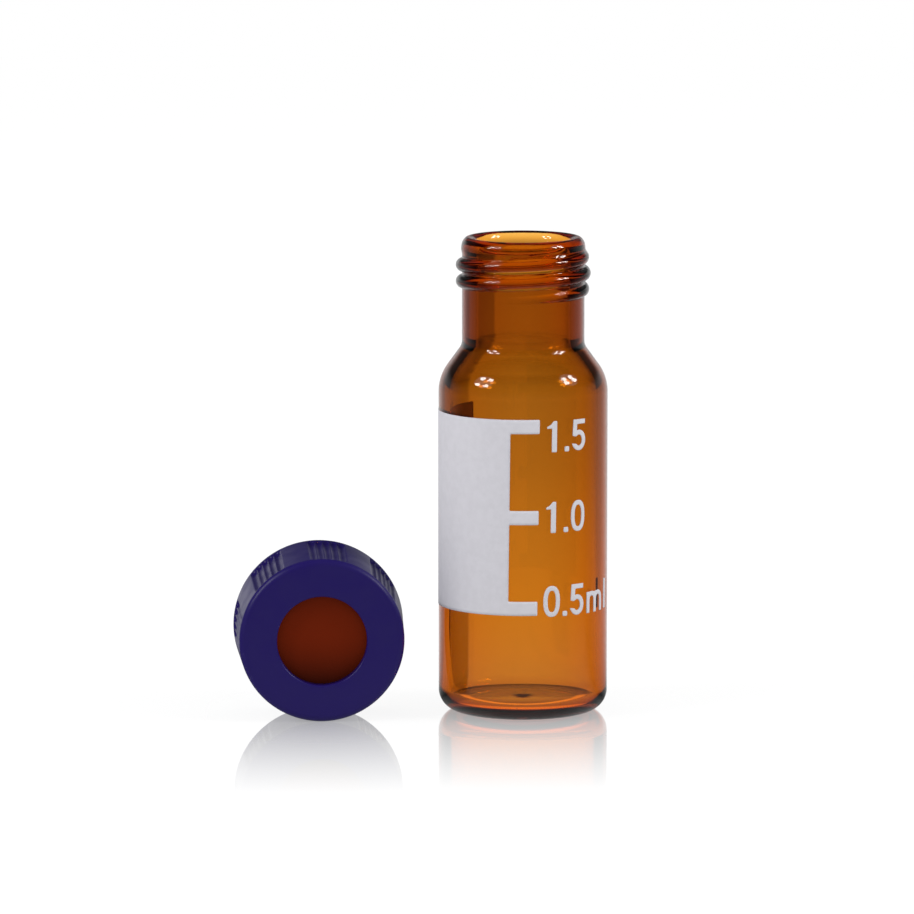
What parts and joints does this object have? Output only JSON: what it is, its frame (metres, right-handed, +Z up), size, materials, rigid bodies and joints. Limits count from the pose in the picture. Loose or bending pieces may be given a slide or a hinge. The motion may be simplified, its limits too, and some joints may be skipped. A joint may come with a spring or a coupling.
{
  "type": "glass sample vial",
  "caption": "Small amber glass sample vial with a screw neck, a white write-on patch and a volume scale, and its ribbed open-hole screw cap with septum stood beside it.",
  "frame": {"origin": "centre of the vial's base, on the table", "axes": "+Z up along the vial's axis, -Y the front with the scale, and the cap stands towards -X"},
  "size_m": [0.0256, 0.0117, 0.0325],
  "materials": {
    "amber_glass": "smooth, clear amber, fire polished",
    "patch_print": "matt fired enamel, faintly mottled",
    "figure_print": "matt fired enamel",
    "cap_plastic": "moulded, satin, dark blue-violet",
    "septum_rubber": "smooth, matt, red-brown",
    "facing_film": "thin pale film, bonded to the rubber"
  },
  "bodies": {
    "root": {"vial_glass": "amber_glass", "write_on_patch": "patch_print", "scale_figures": "figure_print", "cap": "cap_plastic", "septum": "septum_rubber", "septum_facing": "facing_film"}
  },
  "joints": []
}
